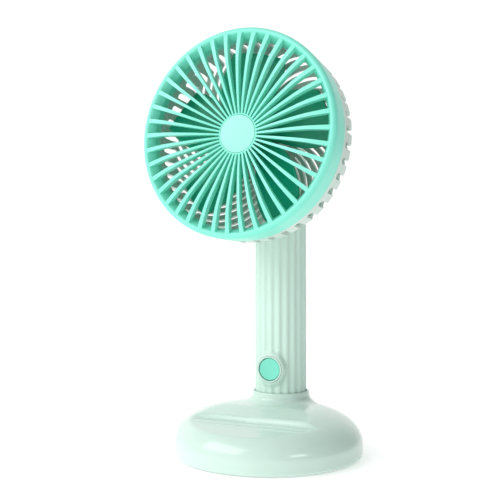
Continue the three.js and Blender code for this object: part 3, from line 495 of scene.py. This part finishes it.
# ---- handle ends ----------------------------------------------------------------------------
# Two plugs close the tube: a flat one that stands on the socket's rubber disc, and a rounded one
# behind the head. Both are snapped in and moulded in the same satin plastic.

END_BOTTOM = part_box("handle_end_cap")[0].z / MM
END_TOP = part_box("handle_end_cap")[1].z / MM
TOP_CAP_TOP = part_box("handle_top_cap")[1].z / MM
TOP_CAP_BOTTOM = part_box("handle_top_cap")[0].z / MM
SPIGOT = HANDLE_BORE - 0.3
EDGE = HANDLE_RADIUS - 0.35

solid_of_revolution([
    (EDGE - 1.2, END_BOTTOM), *arc((EDGE - 1.2, END_BOTTOM + 1.2), (1.2, 1.2), -70, 0, 5),
    (EDGE, SHELL_BOTTOM - 0.3), (SPIGOT, SHELL_BOTTOM - 0.3), (SPIGOT, END_TOP),
], 96)
bpy.ops.transform.translate(value=(0, HANDLE_Y * MM, 0))
end_plug = finished("handle_end_plug", "fan_unit", satin_mint)
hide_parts("handle_end_cap")

solid_of_revolution([
    (SPIGOT, TOP_CAP_BOTTOM), (SPIGOT, SHELL_TOP + 0.15), (HANDLE_RADIUS - 0.2, SHELL_TOP + 0.15),
    (HANDLE_RADIUS, SHELL_TOP + 0.35), (HANDLE_RADIUS, SHELL_TOP + 1.3),
    *arc((0, SHELL_TOP + 1.3), (HANDLE_RADIUS, TOP_CAP_TOP - SHELL_TOP - 1.3), 4, 88, 20),
], 128)
bpy.ops.transform.translate(value=(0, HANDLE_Y * MM, 0))
top_plug = finished("handle_top_plug", "fan_unit", satin_mint)
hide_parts("handle_top_cap")


# ---- button ---------------------------------------------------------------------------------
# A round push button in aqua, slightly dished, inside a thin polished ring pressed into the boss.
# It moves the plunger of a small switch on the board behind it.

BUTTON_RADIUS = 5.9
FACE_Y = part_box("power_button")[0].y / MM
BUTTON_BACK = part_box("power_button")[1].y / MM
BEZEL_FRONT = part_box("button_bezel")[0].y / MM
BEZEL_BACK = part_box("button_bezel")[1].y / MM


def lathed(outline, sides):
    """A hollow piece turned about the upright axis: its section is [(radius, height), ...]."""
    return ringed([(0.0, radius, height) for radius, height in [*outline, outline[0]]], sides)


def facing_front(x, y, z):
    """Tips the piece in edit mode from upright to pointing backwards from this place."""
    bpy.ops.object.mode_set(mode="OBJECT")
    piece = bpy.context.object
    piece.rotation_euler = (-math.pi / 2, 0, 0)
    piece.location = (x * MM, y * MM, z * MM)


button_aqua = plastic("button_aqua", linear(128, 230, 206), 0.3, grain=0.006)
depth = BUTTON_BACK - FACE_Y
solid_of_revolution([
    (0.4, 0.34), (2.0, 0.31), (3.4, 0.22), (4.5, 0.1), (5.0, 0.02), (5.25, 0.0),
    *arc((BUTTON_RADIUS - 0.55, 0.55), (0.55, 0.55), -80, 0, 6),
    (BUTTON_RADIUS, depth - 1), (7.2, depth - 1), (7.2, depth),
], 96)
facing_front(0, FACE_Y, BUTTON_Z)
button = finished("push_button", "button", button_aqua)
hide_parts("power_button")

inner = BUTTON_RADIUS + 0.28
outer = 7.0
depth = BEZEL_BACK - BEZEL_FRONT
profile = [
    (inner, depth), (inner, 0.35), *arc((inner + 0.3, 0.3), (0.3, 0.3), 190, 270, 4),
    *arc((outer - 0.35, 0.35), (0.35, 0.35), -85, 0, 5), (outer, depth),
]
lathed(profile, 96)
facing_front(0, BEZEL_FRONT, BUTTON_Z)
bezel = finished("button_ring", "fan_unit", gloss_mint)
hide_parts("button_bezel")


# ---- inside the handle ----------------------------------------------------------------------
# A rechargeable cell with welded nickel strips, the main and charging boards, the charging
# socket that opens to the back, the switch, and the screws that hold the shells together.

nickel = plastic("nickel", linear(205, 200, 186), 0.3, grain=0.01, metallic=1.0)
board_green = plastic("board_green", linear(38, 96, 66), 0.45, grain=0.02)
black_plastic = plastic("black_plastic", linear(40, 42, 43), 0.45, grain=0.02)
cell_wrap = plastic("cell_wrap", linear(72, 118, 178), 0.3, grain=0.01)
for node, material in {
    "battery_cell": cell_wrap, "battery_tab_lower": nickel, "battery_tab_upper": nickel,
    "charging_port": nickel, "circuit_board": board_green, "charge_board": board_green,
    "tact_switch": black_plastic, "switch_plunger": black_plastic, "motor_cable": black_plastic,
    "handle_screw_1": screw_steel, "handle_screw_2": screw_steel,
}.items():
    dress(node, material)


# ---- rear housing ---------------------------------------------------------------------------
# The back of the head: a plain band behind the aqua ring, and swirled ribs that run over the
# shoulder to the motor's cup and neck. One moulding in the handle's pale plastic.

HEAD_TURN = (-math.pi / 2 - HEAD_TILT, 0, 0)
HEAD_CENTRE = Vector((0, -39.2, 164.4)) * MM
RING_RADIUS = 52.5
RING_DEPTH = 12.0
REAR_DEPTH = 38.5
SHOULDER_RADIUS = 52.0
SHOULDER_DEPTH = 27.5
DISC_RADIUS = 18.0
REAR_RIBS = 42
REAR_SWIRL = math.radians(50)
BAND_START = RING_DEPTH + 0.12
BAND_END = 15.6
REAR_RIB_WIDE = 4.5
REAR_RIB_NARROW = 1.5
REAR_RIB_THICKNESS = 2.0
SLOT_WIDTH = 2.9


def onto_head():
    """Tips a piece that was modelled face down, its height as depth, onto the head."""
    piece = bpy.context.object
    if piece.mode == "EDIT":
        bpy.ops.object.mode_set(mode="OBJECT")
    piece.rotation_euler = HEAD_TURN
    piece.location = HEAD_CENTRE


def through(points):
    """A smooth curve through (radius, depth) points, for a share from 0 to 1."""
    def at(share):
        place = min(max(share, 0.0), 0.9999) * (len(points) - 1)
        i = int(place)
        t = place - i
        before, here = points[max(i - 1, 0)], points[i]
        ahead, after = points[i + 1], points[min(i + 2, len(points) - 1)]
        return Vector([0.5 * (
            2 * h + (a - b) * t + (2 * b - 5 * h + 4 * a - c) * t * t
            + (3 * h - b - 3 * a + c) * t ** 3)
            for b, h, a, c in zip(before, here, ahead, after)])
    return at


def turn_outwards(piece):
    """Turns a closed piece's faces outwards."""
    editing(piece)
    bpy.ops.mesh.select_all(action="SELECT")
    bpy.ops.mesh.normals_make_consistent(inside=False)
    bpy.ops.object.mode_set(mode="OBJECT")


def bent_bar(cuts, place, round_by, segments=2):
    """A square bar cut across into steps, bent into place, with its long edges rounded."""
    deselect()
    bpy.ops.mesh.primitive_cube_add(size=1, location=(0, 0, 0))
    bar = bpy.context.object
    for face in bar.data.polygons:
        face.select = False
    for vertex in bar.data.vertices:
        vertex.select = False
    for edge in bar.data.edges:
        ends = [bar.data.vertices[i].co for i in edge.vertices]
        edge.select = abs(ends[0].x - ends[1].x) > 0.5
    bpy.ops.object.mode_set(mode="EDIT")
    bpy.ops.mesh.select_mode(type="EDGE")
    bpy.ops.mesh.subdivide(number_cuts=cuts)
    bpy.ops.mesh.select_mode(type="VERT")
    bpy.ops.object.mode_set(mode="OBJECT")
    for vertex in bar.data.vertices:
        vertex.co = place(vertex.co.x + 0.5, vertex.co.y, vertex.co.z) * MM
    turn_outwards(bar)
    rounding = bar.modifiers.new("round", "BEVEL")
    rounding.width = round_by * MM
    rounding.segments = segments
    rounding.limit_method = "ANGLE"
    rounding.angle_limit = math.radians(50)
    bpy.ops.object.modifier_apply(modifier=rounding.name)
    return bar


def repeated(piece, count, turn=0.0):
    """Turned copies of a piece about the upright axis, each with its own mesh, as one object."""
    copies = []
    for i in range(count):
        made = copy_of(piece)
        made.data.transform(Matrix.Rotation(turn + TAU * i / count, 4, "Z"))
        copies.append(made)
    bpy.data.objects.remove(piece)
    deselect()
    for made in copies:
        made.select_set(True)
    bpy.context.view_layer.objects.active = copies[0]
    bpy.ops.object.join()
    return bpy.context.object


def polar(angle, radius, depth, sideways=0.0):
    return Vector((
        radius * math.cos(angle) - sideways * math.sin(angle),
        radius * math.sin(angle) + sideways * math.cos(angle),
        depth))


rear_line = through([
    (SHOULDER_RADIUS - 1.2, BAND_END - 1.6), (SHOULDER_RADIUS - 1.1, BAND_END + 1),
    (SHOULDER_RADIUS - 1.0, SHOULDER_DEPTH - 6), (SHOULDER_RADIUS - 1.5, SHOULDER_DEPTH - 3),
    (SHOULDER_RADIUS - 4, SHOULDER_DEPTH - 0.6), (40, SHOULDER_DEPTH + 2.4),
    (29, SHOULDER_DEPTH + 5.6), (DISC_RADIUS - 2, REAR_DEPTH - 1.4),
])


def on_rear_rib(along, sideways, across):
    """A point of a rear rib, which widens at the band so that each slot starts round."""
    line = rear_line(along)
    ahead = rear_line(min(1, along + 0.01)) - rear_line(max(0, along - 0.01))
    ahead.normalize()
    inward = max(0.0, min(1.0, (49 - line.x) / (49 - DISC_RADIUS + 2)))
    width = REAR_RIB_WIDE + (REAR_RIB_NARROW - REAR_RIB_WIDE) * inward
    from_band = max(0.0, line.y - BAND_END + 0.2)
    round_end = SLOT_WIDTH / 2
    if from_band < round_end:
        half_open = math.sqrt(max(0.0, round_end ** 2 - (round_end - from_band) ** 2))
        width += SLOT_WIDTH - 2 * half_open
    out = Vector((ahead.y, -ahead.x)) * across * REAR_RIB_THICKNESS
    return polar(-REAR_SWIRL * inward ** 0.8, line.x + out.x, line.y + out.y, sideways * width)


rib = bent_bar(34, on_rear_rib, 0.55, 3)
rear_ribs = repeated(rib, REAR_RIBS, math.radians(2.5))

inner_wall = RING_RADIUS - 1.3 - 0.3 - 0.9
band_outline = [
    (inner_wall, 6.1), (inner_wall + 0.3, 5.8), (RING_RADIUS - 1.6, 5.8),
    (RING_RADIUS - 1.6, BAND_START), (RING_RADIUS - 0.65, BAND_START),
    (RING_RADIUS - 0.4, BAND_START + 0.3), (RING_RADIUS - 0.5, BAND_END - 0.5),
    (RING_RADIUS - 1.0, BAND_END), (inner_wall, BAND_END),
]
lathed(band_outline, 168)
bpy.ops.object.mode_set(mode="OBJECT")
band = bpy.context.object
MOTOR_FRONT = 21.0
CUP = 12.3
core_outline = [
    (2.4, REAR_DEPTH - 2.7), (CUP, REAR_DEPTH - 2.7), (CUP, MOTOR_FRONT + 2),
    (CUP + 0.3, MOTOR_FRONT + 1.7), (CUP + 1.5, MOTOR_FRONT + 1.7), (CUP + 1.8, MOTOR_FRONT + 2),
    (CUP + 1.8, REAR_DEPTH - 2.7), (DISC_RADIUS - 0.3, REAR_DEPTH - 2.7),
    (DISC_RADIUS, REAR_DEPTH - 2.4),
    *arc((DISC_RADIUS - 1.2, REAR_DEPTH - 1.2), (1.2, 1.2), 0, 90, 5),
    (9.2, REAR_DEPTH), (8.3, REAR_DEPTH + 0.35), (8.0, REAR_DEPTH + 1.2), (8.0, REAR_DEPTH + 11),
    (5.0, REAR_DEPTH + 11), (5.0, REAR_DEPTH + 15.5), (2.4, REAR_DEPTH + 15.5),
]
lathed(core_outline, 96)
bpy.ops.object.mode_set(mode="OBJECT")
core = bpy.context.object
for solid in (band, core, rear_ribs):
    turn_outwards(solid)
carve(rear_ribs, band, "UNION")
carve(rear_ribs, core, "UNION")
onto_head()
rear_mint = plastic("rear_mint", linear(208, 226, 217), 0.34, grain=0.008)
housing = finished("rear_cage", "fan_unit", rear_mint, 35)
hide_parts("rear_housing")


# ---- motor ----------------------------------------------------------------------------------
# A small direct-current motor in the housing's cup, its shaft pointing forwards to the impeller.

motor_steel = plastic("motor_steel", linear(196, 198, 199), 0.3, grain=0.01, metallic=1.0)
for node, material in {
    "motor_can": motor_steel, "motor_end_cap": black_plastic, "motor_shaft": screw_steel,
    "neck_lock_ring": screw_steel,
}.items():
    dress(node, material)


# ---- impeller -------------------------------------------------------------------------------
# Five broad blades on a cup-shaped hub pressed on the motor's shaft, one moulding in deep teal
# plastic. Each blade is cambered, stands aslant from front to back, and has its tip swept ahead.

BLADES = 5
BLADE_TURN = math.radians(30)
BLADE_SWEEP = math.radians(19)
BLADE_TIP = 44.0
BLADE_FRONT = 9.0
BLADE_BACK = 21.0
BLADE_THICKNESS = 1.4
BLADE_ROOT_CHORD = 11.5
BLADE_SWELL = 17.5
BLADE_SWELL_REACH = 0.74
BLADE_CAMBER = 1.5
HUB_OUTER = 10.6
HUB_FRONT = 7.3


def on_blade(along, across, through_it):
    """A point of a blade: a cambered sheet whose tip is swept ahead of its root."""
    radius = HUB_OUTER - 0.8 + (BLADE_TIP - HUB_OUTER + 0.8) * along
    chord = BLADE_ROOT_CHORD + BLADE_SWELL * math.sin(math.pi * BLADE_SWELL_REACH * along)
    lead = BLADE_SWEEP * (1 - (1 - along) ** 1.4)
    angle = BLADE_TURN - lead + across * chord / radius
    camber = math.cos(across * math.pi) * BLADE_CAMBER
    share = 0.5 - across
    depth = BLADE_FRONT + (BLADE_BACK - BLADE_THICKNESS - BLADE_FRONT) * share + camber
    return polar(-angle, radius, depth + through_it * BLADE_THICKNESS)


deselect()
bpy.ops.mesh.primitive_grid_add(x_subdivisions=28, y_subdivisions=20, size=1)
blade = bpy.context.object
for vertex in blade.data.vertices:
    vertex.co = on_blade(vertex.co.x + 0.5, vertex.co.y, 0.0) * MM
thicken = blade.modifiers.new("thicken", "SOLIDIFY")
thicken.thickness = BLADE_THICKNESS * 0.92 * MM
thicken.offset = 0
bpy.ops.object.modifier_apply(modifier=thicken.name)
soften = blade.modifiers.new("soften", "BEVEL")
soften.width = 0.4 * MM
soften.segments = 3
soften.limit_method = "ANGLE"
soften.angle_limit = math.radians(50)
bpy.ops.object.modifier_apply(modifier=soften.name)
turn_outwards(blade)
blades = repeated(blade, BLADES)
hub_outline = [
    (1.3, 8.9), (1.3, 8.1), (0.3, 8.1), (0.3, HUB_FRONT + 0.05), (0.35, HUB_FRONT),
    (HUB_OUTER - 1.6, HUB_FRONT), *arc((HUB_OUTER - 1.6, HUB_FRONT + 1.6), (1.6, 1.6), -75, 0, 6),
    (HUB_OUTER, BLADE_BACK), (HUB_OUTER - 1.5, BLADE_BACK), (HUB_OUTER - 1.5, 8.9),
    (3.0, 8.9), (3.0, 18.0), (1.3, 18.0),
]
hub = lathed(hub_outline, 96)
turn_outwards(hub)
carve(blades, hub, "UNION")
onto_head()
teal = plastic("teal", linear(4, 156, 122), 0.3, grain=0.006)
rotor = finished("five_blade_rotor", "impeller", teal, 45)
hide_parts("impeller")


# ---- front grille ---------------------------------------------------------------------------
# The aqua guard: a deep ring with a soft lip, and forty thin ribs that bow out from the ring and
# sink to a disc in the middle, moulded in one with it. It twists on over the rear housing.

FRONT_RIBS = 40
FRONT_RIB_INNER_WIDTH = 0.85
FRONT_RIB_OUTER_WIDTH = 2.3
FRONT_RIB_DRAFT = 0.18
FRONT_RIB_TURN = math.radians(7.1)
HUB_RADIUS = 10.4
HUB_SET_BACK = 2.3
LIP_RADIUS = 50.5
LIP_RISE = 1.9
THROAT = 47.2
RIB_HEIGHT = 3.6

front_line = through([
    (HUB_RADIUS - 0.7, HUB_SET_BACK + 0.35), (22, -0.6), (36, -LIP_RISE - 1.1),
    (44, -LIP_RISE - 0.8), (LIP_RADIUS - 0.6, -LIP_RISE + 0.15),
])


def on_front_rib(along, sideways, across):
    """A point of a front rib, which tapers towards the hub and is slimmer at its back edge."""
    edge = front_line(along)
    width = FRONT_RIB_INNER_WIDTH + (FRONT_RIB_OUTER_WIDTH - FRONT_RIB_INNER_WIDTH) * along
    width *= 1 - FRONT_RIB_DRAFT * (across + 0.5)
    return polar(0.0, edge.x, edge.y + (across + 0.5) * RIB_HEIGHT, sideways * width)


rib = bent_bar(22, on_front_rib, 0.24, 2)
front_ribs = repeated(rib, FRONT_RIBS, -FRONT_RIB_TURN)
wall_radius = RING_RADIUS - 1.3
ring_outline = [
    (RING_RADIUS - 0.02, 0.6), (RING_RADIUS, 2.0), (RING_RADIUS - 0.25, RING_DEPTH - 0.3),
    (RING_RADIUS - 0.5, RING_DEPTH), (wall_radius, RING_DEPTH), (wall_radius, 1.2),
    (THROAT + 2.2, 2.4), (THROAT + 1.5, 6.8), (THROAT + 1.2, 7.0), (THROAT + 0.3, 7.0),
    (THROAT, 6.7), (THROAT, 3.2), (THROAT + 0.08, 2.8), (THROAT + 0.3, 2.4),
    (LIP_RADIUS - 1.3, -LIP_RISE + 1.1), (LIP_RADIUS - 0.9, -LIP_RISE + 0.45),
    (LIP_RADIUS - 0.5, -LIP_RISE + 0.12), (LIP_RADIUS, -LIP_RISE),
    (LIP_RADIUS + 0.5, -LIP_RISE + 0.12),
    (LIP_RADIUS + 1.05, -LIP_RISE + 0.5), (LIP_RADIUS + 1.55, -LIP_RISE + 1.1),
    (LIP_RADIUS + 1.85, -LIP_RISE + 1.75),
]
ring = lathed(ring_outline, 240)
turn_outwards(ring)
CAP_RADIUS = HUB_RADIUS - 0.8
hub = solid_of_revolution([
    (CAP_RADIUS, HUB_SET_BACK + 1.2), (CAP_RADIUS + 0.1, HUB_SET_BACK + 0.25),
    (HUB_RADIUS - 0.25, HUB_SET_BACK + 0.15), (HUB_RADIUS, HUB_SET_BACK + 0.4),
    (HUB_RADIUS, HUB_SET_BACK + 2.7), (HUB_RADIUS - 0.3, HUB_SET_BACK + 3.0),
], 120)
turn_outwards(hub)
carve(front_ribs, ring, "UNION")
carve(front_ribs, hub, "UNION")
onto_head()
aqua = plastic("aqua", linear(136, 240, 217), 0.33, grain=0.008)
guard = finished("front_guard", "fan_unit", aqua, 35)
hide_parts("front_grille")


# ---- grille cap -----------------------------------------------------------------------------
# A thin plain disc snapped into the hub's seat, a touch paler and finer than the ribs.

solid_of_revolution([
    (0.5, HUB_SET_BACK), (CAP_RADIUS - 0.6, HUB_SET_BACK),
    (CAP_RADIUS - 0.3, HUB_SET_BACK + 0.05), (CAP_RADIUS - 0.1, HUB_SET_BACK + 0.2),
    (CAP_RADIUS - 0.08, HUB_SET_BACK + 1.0),
], 120)
onto_head()
cap_aqua = plastic("cap_aqua", linear(160, 242, 222), 0.42, grain=0.012)
cap = finished("hub_disc", "fan_unit", cap_aqua)
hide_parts("grille_cap")


# ---- studio ---------------------------------------------------------------------------------
# A white floor, a white room that is dark on one side, a large softbox in front on the left and
# a small low one on the dark side. The camera stands at the middle of the handle's height.

deselect()
bpy.ops.mesh.primitive_circle_add(vertices=96, radius=6.0, fill_type="NGON", location=(0, 0, -0.00005))
floor = bpy.context.object
floor.name = "floor"
floor_white = bpy.data.materials.new("floor_white")
floor_white.use_nodes = True
paint = floor_white.node_tree.nodes["Principled BSDF"]
paint.inputs["Base Color"].default_value = (0.92, 0.925, 0.92, 1)
paint.inputs["Roughness"].default_value = 0.7
paint.inputs["Emission Color"].default_value = (1, 1, 1, 1)
paint.inputs["Emission Strength"].default_value = 0.36
floor.data.materials.append(floor_white)

room = bpy.data.worlds.new("room")
bpy.context.scene.world = room
room.use_nodes = True
tree = room.node_tree
sky = Socket(tree, None)
way = sky.node("ShaderNodeTexCoord", {}, {}, "Generated")


def towards(direction, low, high, least, most):
    """A brightness that eases from one value to another as the sky turns towards a direction."""
    facing = sky.node(
        "ShaderNodeVectorMath", {"operation": "DOT_PRODUCT"}, {0: way, 1: direction}, "Value")
    return sky.node("ShaderNodeMapRange", {"interpolation_type": "SMOOTHSTEP"}, {
        "Value": facing, "From Min": low, "From Max": high, "To Min": least, "To Max": most})


back_wall = (-0.43, 0.9, 0.0)
dim_side = (1.0, 0.05, 0.0)
glow = towards(back_wall, 0.1, 0.7, 0.82, 1.06) * towards(dim_side, 0.05, 0.8, 1.0, 0.05)
background = tree.nodes["Background"]
background.inputs["Color"].default_value = (1, 1, 1, 1)
tree.links.new(glow.link, background.inputs["Strength"])


def softbox(name, azimuth, elevation, distance, width, height, power):
    """An area light that faces the fan from this side, in degrees round from the front."""
    aim = Vector((0, 0, 0.09))
    a, e = math.radians(azimuth), math.radians(elevation)
    way_back = Vector((math.sin(a) * math.cos(e), -math.cos(a) * math.cos(e), math.sin(e)))
    data = bpy.data.lights.new(name, "AREA")
    data.shape = "RECTANGLE"
    data.size = width
    data.size_y = height
    data.energy = power
    light = bpy.data.objects.new(name, data)
    light.location = aim + way_back * distance
    light.rotation_euler = (-way_back).to_track_quat("-Z", "Y").to_euler()
    bpy.context.scene.collection.objects.link(light)


softbox("softbox_left", -36, 30, 0.9, 0.8, 0.46, 3.2)
softbox("softbox_right", 60, 13, 0.9, 0.32, 0.16, 0.7)

sight = Vector((-0.42920, 0.90296, 0.02126)).normalized()
lens = bpy.data.cameras.new("camera")
lens.lens = 55.49
lens.sensor_width = 36
lens.clip_start = 0.02
camera = bpy.data.objects.new("camera", lens)
camera.location = (0.16769, -0.37491, 0.09893)
camera.rotation_euler = sight.to_track_quat("-Z", "Y").to_euler()
bpy.context.scene.collection.objects.link(camera)
bpy.context.scene.camera = camera
bpy.context.scene.view_settings.view_transform = "Standard"
